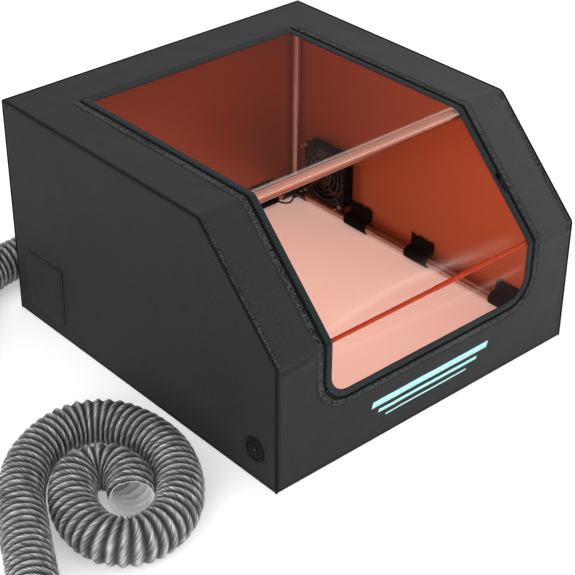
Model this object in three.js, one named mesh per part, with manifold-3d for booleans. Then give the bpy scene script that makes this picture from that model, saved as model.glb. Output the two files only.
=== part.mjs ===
// Laser engraver enclosure: a knock-down tube frame under a fitted fabric cover, with a zipped
// amber window that bends over the sloping front, and the exhaust set fitted to its right wall.
// Millimetres. +X right, +Y rear, +Z up. The origin is the centre of the footprint, on the ground.
import * as THREE from "three";
import { mergeVertices } from "three/addons/utils/BufferGeometryUtils.js";
import Module from "manifold-3d";

const wasm = await Module();
wasm.setup();

// ---------- driving dimensions ----------
const WIDTH = 700;
const DEPTH = 736;
const HEIGHT = 434;
const ROOF = 549; // level roof, from the rear edge to the first bend
const FRONT = 244; // upright front, from the ground to the second bend
const FABRIC = 2; // cover fabric with its foil lining
const GAP = 0.3; // room between neighbouring pieces
const TUBE_R = 10;
const TUBE_WALL = 0.9;
const TUBE_INSET = 15; // tube centreline, in from the cover's outer face
const SLEEVE_R = 12.6;
const SOCKET_R = 10.3;
const SOCKET = 30; // how far a connector reaches along each tube

// window: half width and lower edge of the see-through film, then the bands around it
const FILM_X = 233;
const FILM_LOW = 138;
const FILM_REAR = 108; // film's rear edge, in from the roof's rear edge
const FILM_CORNER = 40;
const DOOR_BAND = 14;
const ZIP_LINE = 2;
const TAPE_BAND = 13;
const TAPE_THICK = 0.8;

// fan port, low on the right wall near the rear corner
const FAN = 120;
const FAN_DEEP = 25;
const FAN_Y = 250;
const FAN_Z = 94;
const SCREW_AT = 52.5;
const DUCT_R = 57.5;
const SCREW_R = 2;
const SCREW_LONG = 50;
const FLANGE_THICK = 3;
const SPIGOT_R = 38;
const SPIGOT_LONG = 50;
const HOSE_R = 40;

// derived places
const HALF = WIDTH / 2;
const REAR = DEPTH / 2;
const BEND_Y = REAR - ROOF;
const SLOPE = new THREE.Vector2(-REAR - BEND_Y, FRONT - HEIGHT);
const SLOPE_ANGLE = Math.atan2(HEIGHT - FRONT, BEND_Y + REAR);
const INNER_X = HALF - FABRIC; // inner face of the side walls
const HINGE_Y = REAR - FILM_REAR + DOOR_BAND;
const OPENING_X = FILM_X + DOOR_BAND + ZIP_LINE;

// ---------- finishes ----------
const finish = (color, roughness, metalness = 0, extra = {}) =>
  new THREE.MeshStandardMaterial({ color, roughness, metalness, ...extra });
const fabric = () => finish(0x3a3a3b, 0.85);
const steel = () => finish(0xb9bcbf, 0.3, 0.9);
const blackPlastic = () => finish(0x17181a, 0.45);
const amberFilm = () => finish(0xd2552a, 0.15, 0, { transparent: true, opacity: 0.5 });
const webbing = () => finish(0x0c0c0d, 0.95);
const hoseCloth = () => finish(0x7e8184, 0.7);
const cordRubber = () => finish(0x121213, 0.55);

// ---------- helpers ----------
const part = new THREE.Group();

function add(name, geometry, material) {
  const mesh = new THREE.Mesh(geometry, material);
  mesh.name = name;
  part.add(mesh);
  return mesh;
}

function toSolid(geometry) {
  const bare = geometry.clone();
  bare.deleteAttribute("normal");
  bare.deleteAttribute("uv");
  const merged = mergeVertices(bare, 1e-3);
  const mesh = new wasm.Mesh({
    numProp: 3,
    vertProperties: new Float32Array(merged.attributes.position.array),
    triVerts: new Uint32Array(merged.index.array),
  });
  return new wasm.Manifold(mesh);
}

function toGeometry(solid) {
  const mesh = solid.getMesh();
  const geometry = new THREE.BufferGeometry();
  geometry.setAttribute("position", new THREE.BufferAttribute(mesh.vertProperties, 3));
  geometry.setIndex(new THREE.BufferAttribute(mesh.triVerts, 1));
  geometry.computeVertexNormals();
  return geometry;
}

const join = (...geometries) =>
  toGeometry(geometries.map(toSolid).reduce((whole, next) => whole.add(next)));
const cut = (geometry, ...tools) =>
  toGeometry(tools.map(toSolid).reduce((rest, tool) => rest.subtract(tool), toSolid(geometry)));
const common = (a, b) => toGeometry(toSolid(a).intersect(toSolid(b)));

function box(x0, x1, y0, y1, z0, z1) {
  const geometry = new THREE.BoxGeometry(x1 - x0, y1 - y0, z1 - z0);
  return geometry.translate((x0 + x1) / 2, (y0 + y1) / 2, (z0 + z1) / 2);
}

// an outline in one plane, pushed along the axis that crosses it
const AXES = {
  x: new THREE.Matrix4().makeBasis(
    new THREE.Vector3(0, 1, 0), new THREE.Vector3(0, 0, 1), new THREE.Vector3(1, 0, 0)),
  y: new THREE.Matrix4().makeBasis(
    new THREE.Vector3(0, 0, 1), new THREE.Vector3(1, 0, 0), new THREE.Vector3(0, 1, 0)),
  z: new THREE.Matrix4(),
};

function extrude(shape, axis, from, to, curveSegments = 12) {
  const depth = to - from;
  const geometry = new THREE.ExtrudeGeometry(shape, { depth, bevelEnabled: false, curveSegments });
  return geometry.translate(0, 0, from).applyMatrix4(AXES[axis]);
}

const polygon = (points) => new THREE.Shape(points.map(([u, v]) => new THREE.Vector2(u, v)));

function roundedRectangle(u0, u1, v0, v1, radius) {
  const shape = new THREE.Shape();
  shape.moveTo(u0 + radius, v0);
  shape.lineTo(u1 - radius, v0);
  shape.absarc(u1 - radius, v0 + radius, radius, -Math.PI / 2, 0);
  shape.lineTo(u1, v1 - radius);
  shape.absarc(u1 - radius, v1 - radius, radius, 0, Math.PI / 2);
  shape.lineTo(u0 + radius, v1);
  shape.absarc(u0 + radius, v1 - radius, radius, Math.PI / 2, Math.PI);
  shape.lineTo(u0, v0 + radius);
  shape.absarc(u0 + radius, v0 + radius, radius, Math.PI, Math.PI * 1.5);
  return shape;
}

// a cylinder whose axis runs between two points, optionally carried on past both ends
function rod(from, to, radius, sides = 16, extra = 0) {
  const a = new THREE.Vector3(...from);
  const b = new THREE.Vector3(...to);
  const along = b.clone().sub(a);
  const geometry = new THREE.CylinderGeometry(radius, radius, along.length() + 2 * extra, sides);
  const turn = new THREE.Quaternion().setFromUnitVectors(
    new THREE.Vector3(0, 1, 0), along.clone().normalize());
  return geometry.applyQuaternion(turn).translate(...a.add(b).multiplyScalar(0.5).toArray());
}

function pipe(from, to, radius, wall, sides = 16) {
  return cut(rod(from, to, radius, sides), rod(from, to, radius - wall, sides, 1));
}

// a closed profile of [radius, height] points turned about +X and set down at a place
function turned(profile, segments, [x, y, z]) {
  const points = profile.map(([r, h]) => new THREE.Vector2(r, h));
  const geometry = new THREE.LatheGeometry([...points, points[0]], segments);
  return geometry.rotateZ(-Math.PI / 2).translate(x, y, z);
}

// the same for a solid of revolution whose profile starts and ends on the axis
function turnedSolid(profile, segments, [x, y, z]) {
  const points = profile.map(([r, h]) => new THREE.Vector2(r, h));
  return new THREE.LatheGeometry(points, segments).rotateZ(-Math.PI / 2).translate(x, y, z);
}

const smoothLine = (points) => new THREE.CatmullRomCurve3(
  points.map((p) => new THREE.Vector3(...p)), false, "catmullrom", 0.5);

// the part of a line between two lengths measured along it
class Stretch extends THREE.Curve {
  constructor(line, from, to) {
    super();
    const whole = line.getLength();
    Object.assign(this, { line, from: from / whole, to: to / whole });
  }

  getPoint(t) {
    return this.line.getPointAt(this.from + (this.to - this.from) * t);
  }
}

function sweep(line, radius, sides, steps) {
  const section = new THREE.Shape();
  section.absarc(0, 0, radius, 0, 2 * Math.PI);
  const settings = { steps, extrudePath: line, curveSegments: sides / 2, bevelEnabled: false };
  return new THREE.ExtrudeGeometry(section, settings);
}

// ---------- the cover's side profile ----------
// corner i of the profile, moved inwards by an offset: 0 rear top, 1 first bend, 2 second bend
const PROFILE = [
  new THREE.Vector2(REAR, 0),
  new THREE.Vector2(REAR, HEIGHT),
  new THREE.Vector2(BEND_Y, HEIGHT),
  new THREE.Vector2(-REAR, FRONT),
  new THREE.Vector2(-REAR, 0),
];

function offsetCorner(index, inset) {
  const [before, here, after] = [index - 1, index, index + 1].map((i) => PROFILE.at(i % 5));
  const in1 = here.clone().sub(before).normalize();
  const in2 = after.clone().sub(here).normalize();
  const n1 = new THREE.Vector2(-in1.y, in1.x);
  const n2 = new THREE.Vector2(-in2.y, in2.x);
  const miter = n1.clone().add(n2).multiplyScalar(inset / (1 + n1.dot(n2)));
  return here.clone().add(miter);
}

const corner = (index, inset) => offsetCorner(index, inset).toArray();

// a band that follows roof, slope and front between two insets
function coverBand(outer, inner, yRear, zLow) {
  return polygon([
    [yRear, HEIGHT - outer],
    corner(2, outer),
    corner(3, outer),
    [-REAR + outer, zLow],
    [-REAR + inner, zLow],
    corner(3, inner),
    corner(2, inner),
    [yRear, HEIGHT - inner],
  ]);
}

// the column that a window outline cuts through roof, slope and front
function windowColumn(halfWidth, rearY, low, radius) {
  const face = new THREE.Shape();
  face.moveTo(HEIGHT + 50, -halfWidth);
  face.lineTo(HEIGHT + 50, halfWidth);
  face.lineTo(low + radius, halfWidth);
  face.absarc(low + radius, halfWidth - radius, radius, Math.PI / 2, Math.PI);
  face.lineTo(low, -halfWidth + radius);
  face.absarc(low + radius, -halfWidth + radius, radius, Math.PI, Math.PI * 1.5);
  const ahead = extrude(face, "y", -REAR - 50, BEND_Y + 1, 8);
  const above = box(-halfWidth, halfWidth, BEND_Y, rearY, FRONT + 20, HEIGHT + 50);
  return join(ahead, above);
}

const CORNER_R = FILM_CORNER + DOOR_BAND + ZIP_LINE;
const OPENING_LOW = FILM_LOW - DOOR_BAND - ZIP_LINE;

// ---------- tube frame ----------
const AT_X = HALF - TUBE_INSET;
const railY = { front: -REAR + TUBE_INSET, rear: REAR - TUBE_INSET };
const LOW = TUBE_INSET;
const TOP = HEIGHT - TUBE_INSET;
const BEND_1 = corner(2, TUBE_INSET);
const BEND_2 = corner(3, TUBE_INSET);
const END_GAP = 6; // a tube stops this far short of the connector's middle

function shorten(from, to, by) {
  const a = new THREE.Vector3(...from);
  const b = new THREE.Vector3(...to);
  const step = b.clone().sub(a).setLength(by);
  return [a.add(step).toArray(), b.sub(step).toArray()];
}

function straightTube(name, from, to, clear = END_GAP + TUBE_R) {
  add(name, pipe(...shorten(from, to, clear), TUBE_R, TUBE_WALL), steel());
}

// slope rail and front post are one tube with a bend at the second bend line
function bentFrontTube(name, x) {
  const low = [x, railY.front, LOW + TUBE_R + END_GAP];
  const [top] = shorten([x, ...BEND_1], [x, ...BEND_2], TUBE_R + END_GAP);
  const bend = new THREE.Vector3(x, ...BEND_2);
  const reach = 40;
  const down = bend.clone().add(new THREE.Vector3(0, 0, -reach));
  const up = new THREE.Vector3(...top).sub(bend).setLength(reach).add(bend);
  const path = new THREE.CurvePath();
  path.add(new THREE.LineCurve3(new THREE.Vector3(...low), down));
  path.add(new THREE.QuadraticBezierCurve3(down, bend, up));
  path.add(new THREE.LineCurve3(up, new THREE.Vector3(...top)));
  const section = new THREE.Shape();
  section.absarc(0, 0, TUBE_R, 0, 2 * Math.PI);
  const bore = new THREE.Path();
  bore.absarc(0, 0, TUBE_R - TUBE_WALL, 0, 2 * Math.PI, true);
  section.holes.push(bore);
  const settings = { steps: 16, extrudePath: path, curveSegments: 6, bevelEnabled: false };
  add(name, new THREE.ExtrudeGeometry(section, settings), steel());
}

// a moulded socket that holds tubes running out of one point, with a flat pad where it stands
function connector(name, at, directions, foot = false) {
  const centre = new THREE.Vector3(...at);
  const reach = (d, length) => centre.clone().addScaledVector(
    new THREE.Vector3(...d).normalize(), length).toArray();
  const ball = new THREE.SphereGeometry(SLEEVE_R, 10, 6).translate(...at);
  const bodies = [ball, ...directions.map((d) => rod(at, reach(d, SOCKET + TUBE_R), SLEEVE_R, 12))];
  if (foot) {
    const pad = 11;
    bodies.push(box(at[0] - pad, at[0] + pad, at[1] - pad, at[1] + pad, 0, at[2] - 4));
  }
  const sockets = directions.map(
    (d) => rod(reach(d, TUBE_R + END_GAP - 1), reach(d, 3 * SOCKET), SOCKET_R));
  add(name, cut(join(...bodies), ...sockets), blackPlastic());
}

for (const [side, x] of [["left", -AT_X], ["right", AT_X]]) {
  const inward = [-Math.sign(x), 0, 0];
  const slopeDown = [0, SLOPE.x, SLOPE.y];
  straightTube(`${side}_bottom_rail`, [x, railY.front, LOW], [x, railY.rear, LOW]);
  straightTube(`${side}_rear_post`, [x, railY.rear, LOW], [x, railY.rear, TOP]);
  straightTube(`${side}_roof_rail`, [x, railY.rear, TOP], [x, ...BEND_1]);
  bentFrontTube(`${side}_front_tube`, x);
  connector(`${side}_front_foot`, [x, railY.front, LOW], [inward, [0, 1, 0], [0, 0, 1]], true);
  connector(`${side}_rear_foot`, [x, railY.rear, LOW], [inward, [0, -1, 0], [0, 0, 1]], true);
  connector(`${side}_rear_corner`, [x, railY.rear, TOP], [inward, [0, -1, 0], [0, 0, -1]]);
  connector(`${side}_roof_bend`, [x, ...BEND_1], [inward, [0, 1, 0], slopeDown]);
}

for (const [name, y, z] of [
  ["front_bottom_rail", railY.front, LOW],
  ["rear_bottom_rail", railY.rear, LOW],
  ["rear_top_rail", railY.rear, TOP],
  ["roof_cross_tube", ...BEND_1],
]) {
  straightTube(name, [-AT_X, y, z], [AT_X, y, z]);
}

// ---------- fabric cover ----------
const SCREWS = [];
for (const v of [-1, 1]) {
  for (const u of [-1, 1]) {
    SCREWS.push([FAN_Y + u * SCREW_AT, FAN_Z + v * SCREW_AT]);
  }
}

const GROMMET = [-315, 60];
const PORT_FLAP = { y0: 221, y1: 331, z0: 26, z1: 144 };

function sidePanel(name, x0, holes) {
  const inset = FABRIC + GAP;
  const outline = polygon([
    [REAR - inset, 0],
    corner(1, inset),
    corner(2, inset),
    corner(3, inset),
    [-REAR + inset, 0],
  ]);
  outline.holes.push(...holes);
  add(name, extrude(outline, "x", x0, x0 + FABRIC, 9), fabric());
}

function roundHole(y, z, radius) {
  const hole = new THREE.Path();
  hole.absarc(y, z, radius, 0, 2 * Math.PI, true);
  return hole;
}

const portY = (PORT_FLAP.y0 + PORT_FLAP.y1) / 2;
const portZ = (PORT_FLAP.z0 + PORT_FLAP.z1) / 2;
sidePanel("left_panel", -HALF, [roundHole(portY, portZ, 44), roundHole(...GROMMET, 20)]);
const screwHoles = SCREWS.map(([y, z]) => roundHole(y, z, 2.6));
sidePanel("right_panel", HALF - FABRIC, [roundHole(FAN_Y, FAN_Z, 48), ...screwHoles]);

const CABLE_NOTCH = { x: 287, half: 4, high: 7 };
add(
  "rear_panel",
  cut(
    box(-HALF, HALF, REAR - FABRIC, REAR, 0, HEIGHT - FABRIC - GAP),
    box(CABLE_NOTCH.x - CABLE_NOTCH.half, CABLE_NOTCH.x + CABLE_NOTCH.half,
      REAR - 9, REAR + 9, -1, CABLE_NOTCH.high),
  ),
  fabric(),
);

add(
  "front_roof_cover",
  cut(
    extrude(coverBand(0, FABRIC, REAR, 0), "x", -HALF, HALF),
    windowColumn(OPENING_X, HINGE_Y, OPENING_LOW, CORNER_R),
  ),
  fabric(),
);

// ---------- window ----------
const paneX = OPENING_X - ZIP_LINE / 2;
const paneColumn = windowColumn(
  paneX, HINGE_Y - GAP, OPENING_LOW + ZIP_LINE / 2, CORNER_R - ZIP_LINE / 2);
const PANE = FABRIC - 0.4;
const slopeNormal = new THREE.Vector2(SLOPE.y, -SLOPE.x).normalize();

// a flat piece of the band between two profile points, clear of the fold at each end
function pane(name, from, to, startClear, endClear) {
  const along = new THREE.Vector2(...to).sub(new THREE.Vector2(...from)).normalize();
  const inwards = new THREE.Vector2(-along.y, along.x).multiplyScalar(PANE);
  const a = new THREE.Vector2(...from).addScaledVector(along, startClear);
  const b = new THREE.Vector2(...to).addScaledVector(along, -endClear);
  const strip = polygon([a, b, b.clone().add(inwards), a.clone().add(inwards)]
    .map((p) => p.toArray()));
  const solid = common(extrude(strip, "x", -paneX - 5, paneX + 5), paneColumn);
  return add(name, solid, amberFilm());
}

const FOLD = 1.2;
pane("roof_pane", [REAR, HEIGHT], [BEND_Y, HEIGHT], 0, FOLD);
pane("slope_pane", [BEND_Y, HEIGHT], [-REAR, FRONT], FOLD, FOLD);
pane("front_pane", [-REAR, FRONT], [-REAR, 0], FOLD, 0);

// stiffener rod that keeps the lower fold straight, in two halves that push together
const FOLD_ROD_R = 4.6;
const rodAt = corner(3, PANE + FOLD_ROD_R + 1.2);
const halfRod = (name, x0, x1, r) =>
  add(name, rod([x0, ...rodAt], [x1, ...rodAt], r, 12), finish(0xe0431a, 0.4));
halfRod("fold_rod_left", -FILM_X - 8, -GAP / 2 + 8, FOLD_ROD_R - 0.7);
halfRod("fold_rod_right", 8 + GAP / 2, FILM_X + 8, FOLD_ROD_R);

// fixed half of the zip, sewn on the cover around the opening
const tapeInner = OPENING_X + 1;
const tapeOuter = tapeInner + TAPE_BAND;
add(
  "zip_tape",
  cut(
    common(
      extrude(coverBand(-TAPE_THICK - 0.1, -0.1, HINGE_Y, 10), "x", -tapeOuter, tapeOuter),
      windowColumn(tapeOuter, HINGE_Y, OPENING_LOW - 1 - TAPE_BAND, CORNER_R + 1 + TAPE_BAND),
    ),
    windowColumn(tapeInner, HINGE_Y + 5, OPENING_LOW - 1, CORNER_R + 1),
  ),
  finish(0x2b2b2d, 0.95),
);

// zip slider and its pull, on the right of the slope, made flat and then set on it
const onSlope = new THREE.Matrix4().makeBasis(
  new THREE.Vector3(1, 0, 0),
  new THREE.Vector3(0, -SLOPE.x, -SLOPE.y).normalize(),
  new THREE.Vector3(0, slopeNormal.x, slopeNormal.y),
);
const SLIDER_DOWN = 138; // from the first bend, along the slope
const slopeWay = SLOPE.clone().normalize();
onSlope.setPosition(
  paneX - 5,
  BEND_Y + slopeWay.x * SLIDER_DOWN,
  HEIGHT + slopeWay.y * SLIDER_DOWN,
);
const sliderBody = join(
  extrude(roundedRectangle(-4, 4, -6, 6, 2.4), "z", 0.3, 3.3, 4),
  box(-1, 1, -5, -3, 3, 6.2),
  box(-1, 1, 3, 5, 3, 6.2),
  box(-1, 1, -5, 5, 5.2, 6.4),
);
add("zip_slider", sliderBody.applyMatrix4(onSlope), finish(0x1b1c1e, 0.35, 0.7));

// the pull's head bar lies under the slider's bridge, with an arm on each side of it
const PULL_PIVOT = { along: 0.9, up: 4.25 };
const pull = cut(
  extrude(roundedRectangle(-3.4, 3.4, -30, 1.7, 1.6), "z", PULL_PIVOT.up - 0.55, PULL_PIVOT.up + 0.55, 4),
  box(-1.5, 1.5, -6, 0.1, 3, 6),
);
add("zip_pull", pull.applyMatrix4(onSlope), finish(0x54585c, 0.5, 0.6));

// ---------- ports on the left wall ----------
add(
  "port_flap",
  box(-HALF - GAP - 2, -HALF - GAP, PORT_FLAP.y0, PORT_FLAP.y1, PORT_FLAP.z0, PORT_FLAP.z1),
  fabric(),
);
const grommetAt = [-HALF, ...GROMMET];
add(
  "grommet_ring",
  turned([
    [17, -2.6], [22.5, -2.6], [23.6, -1.6], [23.6, -GAP], [19.6, -GAP], [19.6, FABRIC + GAP],
    [23.2, FABRIC + GAP], [23.2, FABRIC + 1.8], [17, FABRIC + 1.8],
  ], 20, grommetAt),
  blackPlastic(),
);
add(
  "grommet_insert",
  turned([[2.2, -2.2], [12, -3], [16.6, -2.2], [16.6, -0.6], [2.2, -0.6]], 16, grommetAt),
  finish(0x2c2d2f, 0.8),
);

// ---------- hook-and-loop straps around the bottom tubes ----------
function strapOutline(centreU, wallU) {
  const side = Math.sign(wallU - centreU);
  const inner = TUBE_R + 0.4;
  const outer = SLEEVE_R;
  const point = (r, degrees) => {
    const a = (degrees * Math.PI) / 180;
    return [centreU - side * r * Math.cos(a), LOW + r * Math.sin(a)];
  };
  const turns = [];
  for (let degrees = -110; degrees <= 80; degrees += 19) {
    turns.push(degrees);
  }
  const u1 = wallU - side * 0.4;
  const u0 = u1 - side * 2;
  const rise = LOW + 36;
  const points = [
    ...turns.map((d) => point(outer, d)),
    [u0, LOW + outer + 6],
    [u0, rise],
    [u1, rise],
    [u1, LOW + outer - 1],
    ...turns.reverse().map((d) => point(inner, d)),
  ];
  return side > 0 ? points.reverse() : points;
}

const STRAP = 60;
const STRAP_Y = [159, -16, -243];
STRAP_Y.forEach((y, i) => {
  const outline = polygon(strapOutline(AT_X, INNER_X).map(([x, z]) => [z, x]));
  add(`right_strap_${i + 1}`, extrude(outline, "y", y - STRAP / 2, y + STRAP / 2), webbing());
});
const REAR_STRAP_X = 248;
const rearOutline = polygon(strapOutline(railY.rear, REAR - FABRIC));
add(
  "rear_strap",
  extrude(rearOutline, "x", REAR_STRAP_X - STRAP / 2, REAR_STRAP_X + STRAP / 2),
  webbing(),
);

// ---------- fan, guard and fasteners ----------
const fanBack = INNER_X - 0.4; // the fan's mounting face, against the wall
const fanFront = fanBack - FAN_DEEP;
const fanShape = () => roundedRectangle(
  FAN_Y - FAN / 2, FAN_Y + FAN / 2, FAN_Z - FAN / 2, FAN_Z + FAN / 2, 7);
const slab = (x0, x1) => extrude(fanShape(), "x", x0, x1, 4);
const across = (x0, x1, y, z, radius, sides = 16) => rod([x0, y, z], [x1, y, z], radius, sides);

function fanFrame() {
  const plate = 3.5;
  const shell = across(fanFront, fanBack, FAN_Y, FAN_Z, DUCT_R + 1.8, 26);
  const posts = SCREWS.map(([y, z]) => across(fanFront, fanBack, y, z, 4.6, 8));
  const bulk = join(slab(fanFront, fanFront + plate), slab(fanBack - plate, fanBack), shell, ...posts);
  const duct = across(fanFront - 1, fanBack + 1, FAN_Y, FAN_Z, DUCT_R, 26);
  const bores = SCREWS.map(([y, z]) => across(fanFront - 1, fanBack + 1, y, z, 2.6, 8));
  const motor = across(fanBack - 7, fanBack - 1, FAN_Y, FAN_Z, 21, 20);
  const spokes = [20, 110, 200, 290].map((degrees) => {
    const a = (degrees * Math.PI) / 180;
    const bar = box(-2.5, 2.5, 18, DUCT_R + 1, -2, 2);
    return bar.applyMatrix4(new THREE.Matrix4().makeRotationZ(a)).applyMatrix4(AXES.x)
      .translate(fanBack - 4, FAN_Y, FAN_Z);
  });
  const bearing = across(fanBack - 12, fanBack, FAN_Y, FAN_Z, 1.9, 12);
  return cut(join(cut(bulk, duct), motor, ...spokes), ...bores, bearing);
}

// one blade: thin sections turned further the nearer they are to the hub
function blade(angle) {
  const stations = 5;
  const [hubR, tipR] = [17, DUCT_R - 2];
  const positions = [];
  for (let i = 0; i <= stations; i += 1) {
    const t = i / stations;
    const r = hubR + (tipR - hubR) * t;
    const chord = 15 + 9 * t;
    const pitch = 0.95 - 0.4 * t;
    const sweepBack = 0.42 * t * t;
    for (const [u, v] of [[-1, -1], [1, -1], [1, 1], [-1, 1]]) {
      const along = (u * chord) / 2;
      const thick = v * (0.9 - 0.3 * t);
      const rise = along * Math.sin(pitch) * 0.8 + thick * Math.cos(pitch);
      const around = (along * Math.cos(pitch) - thick * Math.sin(pitch)) / r + sweepBack + angle;
      positions.push(rise, r * Math.cos(around), r * Math.sin(around));
    }
  }
  const index = [0, 2, 1, 0, 3, 2];
  for (let i = 0; i < stations; i += 1) {
    for (let k = 0; k < 4; k += 1) {
      const [a, b] = [i * 4 + k, i * 4 + ((k + 1) % 4)];
      index.push(a, b, b + 4, a, b + 4, a + 4);
    }
  }
  const end = stations * 4;
  index.push(end, end + 1, end + 2, end, end + 2, end + 3);
  const geometry = new THREE.BufferGeometry();
  geometry.setAttribute("position", new THREE.Float32BufferAttribute(positions, 3));
  geometry.setIndex(index);
  return geometry.translate(fanFront + 11, FAN_Y, FAN_Z);
}

const BLADES = 7;
function impeller() {
  const hub = turnedSolid(
    [[0, 0], [17, 0], [19.5, 2], [19.5, 16.5], [0, 16.5]], 28, [fanFront + 1, FAN_Y, FAN_Z]);
  const axle = across(fanFront + 10, fanBack - 2, FAN_Y, FAN_Z, 1.5, 10);
  const blades = Array.from({ length: BLADES }, (_, i) => blade((i * 2 * Math.PI) / BLADES));
  return join(hub, axle, ...blades);
}

add("fan_frame", fanFrame(), blackPlastic());
add("fan_impeller", impeller(), finish(0x1d1e21, 0.35));

const WIRE_R = 0.9;
const GUARD_X = fanFront - GAP - WIRE_R;
function fanGuard() {
  const rings = [10, 21, 32, 43, 54].map((r) =>
    new THREE.TorusGeometry(r, WIRE_R, 4, 20).applyMatrix4(AXES.x).translate(GUARD_X, FAN_Y, FAN_Z));
  const arms = SCREWS.map(([y, z]) => {
    const out = new THREE.Vector2(y - FAN_Y, z - FAN_Z).normalize();
    const at = (r) => [GUARD_X - 0.5, FAN_Y + out.x * r, FAN_Z + out.y * r];
    return rod(at(9.5), at(SCREW_AT * Math.SQRT2 - 3.4), WIRE_R, 4);
  });
  const eyes = SCREWS.map(([y, z]) =>
    new THREE.TorusGeometry(3.6, WIRE_R, 4, 8).applyMatrix4(AXES.x).translate(GUARD_X, y, z));
  return join(...rings, ...arms, ...eyes);
}

add("fan_guard", fanGuard(), steel());

// duct flange outside: square base, corner bosses and a round spigot
const flangeX = HALF + 0.4;
const spigotEnd = flangeX + FLANGE_THICK + SPIGOT_LONG;
function ductFlange() {
  const base = slab(flangeX, flangeX + FLANGE_THICK);
  const spigot = across(flangeX, spigotEnd, FAN_Y, FAN_Z, SPIGOT_R, 32);
  const foot = turnedSolid(
    [[0, 0], [SPIGOT_R + 7, 0], [SPIGOT_R + 1, 6], [0, 6]], 32, [flangeX, FAN_Y, FAN_Z]);
  const gussets = [45, 135, 225, 315].map((degrees) =>
    extrude(polygon([[0, 0], [58, 0], [58, 1], [39, 12], [0, 12]]), "z", -1.2, 1.2)
      .applyMatrix4(new THREE.Matrix4().makeBasis(
        new THREE.Vector3(0, 1, 0), new THREE.Vector3(1, 0, 0), new THREE.Vector3(0, 0, -1)))
      .rotateX((degrees * Math.PI) / 180)
      .translate(flangeX, FAN_Y, FAN_Z));
  const bore = across(flangeX - 1, spigotEnd + 1, FAN_Y, FAN_Z, SPIGOT_R - 2.4, 32);
  const holes = SCREWS.map(([y, z]) => across(flangeX - 1, flangeX + 20, y, z, 2.6, 10));
  const seats = SCREWS.map(([y, z]) =>
    across(flangeX + FLANGE_THICK, flangeX + 20, y, z, 5.2, 10));
  return cut(join(base, spigot, foot, ...gussets), bore, ...holes, ...seats);
}

add("duct_flange", ductFlange(), blackPlastic());

// long screws: pan heads outside on the flange, nuts inside on the guard
const headX = flangeX + FLANGE_THICK + GAP;
const nutX = GUARD_X - WIRE_R - 0.8;
const NUT = 3.2;
SCREWS.forEach(([y, z], i) => {
  const screw = turnedSolid([
    [0, -SCREW_LONG], [SCREW_R - 0.7, -SCREW_LONG], [SCREW_R, 0.8 - SCREW_LONG], [SCREW_R, 0],
    [3.9, 0], [3.9, 1.2], [2.6, 2.5], [0, 2.6],
  ], 10, [headX, y, z]);
  add(`fan_screw_${i + 1}`, screw, steel());
  const nut = cut(across(nutX - NUT, nutX, y, z, 4, 6), across(nutX - 5, nutX + 1, y, z, 2.3, 12));
  add(`fan_nut_${i + 1}`, nut, steel());
});

// ---------- hose clamp ----------
const CLAMP_X = flangeX + FLANGE_THICK + 32;
const BAND_R = HOSE_R + 1.2;
const CLAMP_TOP = FAN_Z + BAND_R + 1.2;
add(
  "clamp_band",
  turned([[BAND_R, -4.5], [BAND_R + 0.8, -4.5], [BAND_R + 0.8, 4.5], [BAND_R, 4.5]], 32,
    [CLAMP_X, FAN_Y, FAN_Z]),
  steel(),
);
const housingY = [FAN_Y - 8, FAN_Y + 7];
const wormZ = CLAMP_TOP + 4.6;
add(
  "clamp_housing",
  cut(
    extrude(
      roundedRectangle(CLAMP_X - 6.5, CLAMP_X + 6.5, 0, 9.4, 3), "z", 0, housingY[1] - housingY[0], 4,
    ).applyMatrix4(new THREE.Matrix4().makeBasis(
      new THREE.Vector3(1, 0, 0), new THREE.Vector3(0, 0, 1), new THREE.Vector3(0, -1, 0)))
      .translate(0, housingY[1], CLAMP_TOP),
    rod([CLAMP_X, housingY[0] - 1, wormZ], [CLAMP_X, housingY[1] + 1, wormZ], 3.4, 16),
  ),
  steel(),
);
const clampScrew = turnedSolid([
  [0, -5], [3.4, -5], [4.2, -4.4], [4.2, -0.4], [3, -0.2], [3, 17], [2.4, 17.6], [0, 17.6],
], 18, [0, 0, 0]).rotateZ(Math.PI / 2).translate(CLAMP_X, housingY[0] - 0.6, wormZ);
const slot = box(CLAMP_X - 0.6, CLAMP_X + 0.6, housingY[0] - 7, housingY[0] - 4, wormZ - 5, wormZ + 5);
add("clamp_screw", cut(clampScrew, slot), steel());

// ---------- exhaust hose ----------
// A cuff on the spigot, a run that goes round behind the cover and past its left side,
// and a loose spiral of one and a half turns beside the left wall, open in the middle.
const HOSE_Z = HOSE_R + 1;
const CUFF_FROM = flangeX + 13.5;
const cuffLong = spigotEnd - CUFF_FROM;
const [cuffIn, cuffOut] = [SPIGOT_R + 0.4, HOSE_R + 0.8];
add(
  "hose_cuff",
  turned([[cuffIn, 0], [cuffOut, 0], [cuffOut, cuffLong], [cuffIn, cuffLong]], 32,
    [CUFF_FROM, FAN_Y, FAN_Z]),
  hoseCloth(),
);

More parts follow.
